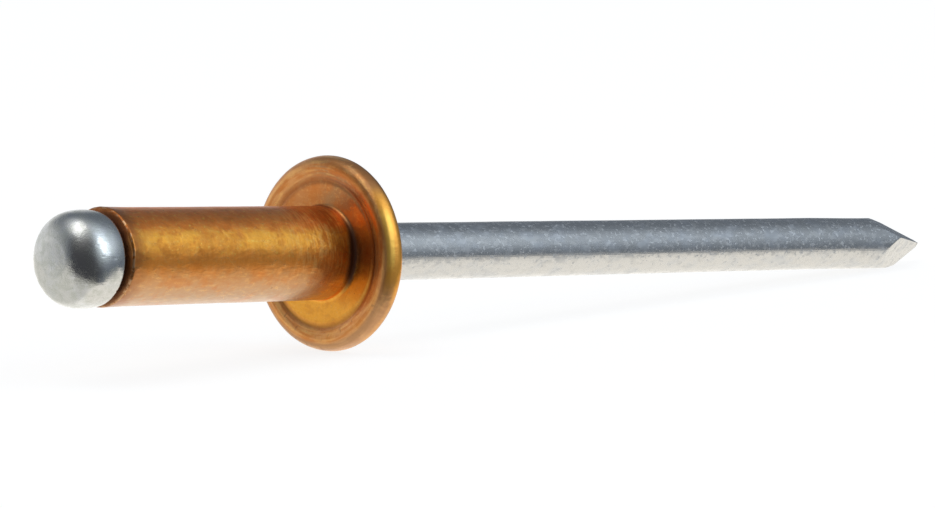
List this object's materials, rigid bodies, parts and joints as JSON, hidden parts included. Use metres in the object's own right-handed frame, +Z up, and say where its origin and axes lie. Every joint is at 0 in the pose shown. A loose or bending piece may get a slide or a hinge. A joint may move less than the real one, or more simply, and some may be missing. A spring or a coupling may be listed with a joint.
{
  "type": "pop rivet",
  "caption": "Open-end blind rivet with a domed flange: a copper sleeve on a steel pull mandrel with a rounded head and a pinched point.",
  "frame": {"origin": "on the floor under the middle of the rivet as it lies at rest", "axes": "+X along the rivet from its head to its point, tipped 4.2 degrees down, +Y to the side, +Z up from the floor"},
  "size_m": [0.0474, 0.0066, 0.0067],
  "materials": {
    "copper": "satin",
    "steel": "satin"
  },
  "bodies": {
    "root": {"rivet_body": "copper", "mandrel": "steel"}
  },
  "joints": []
}
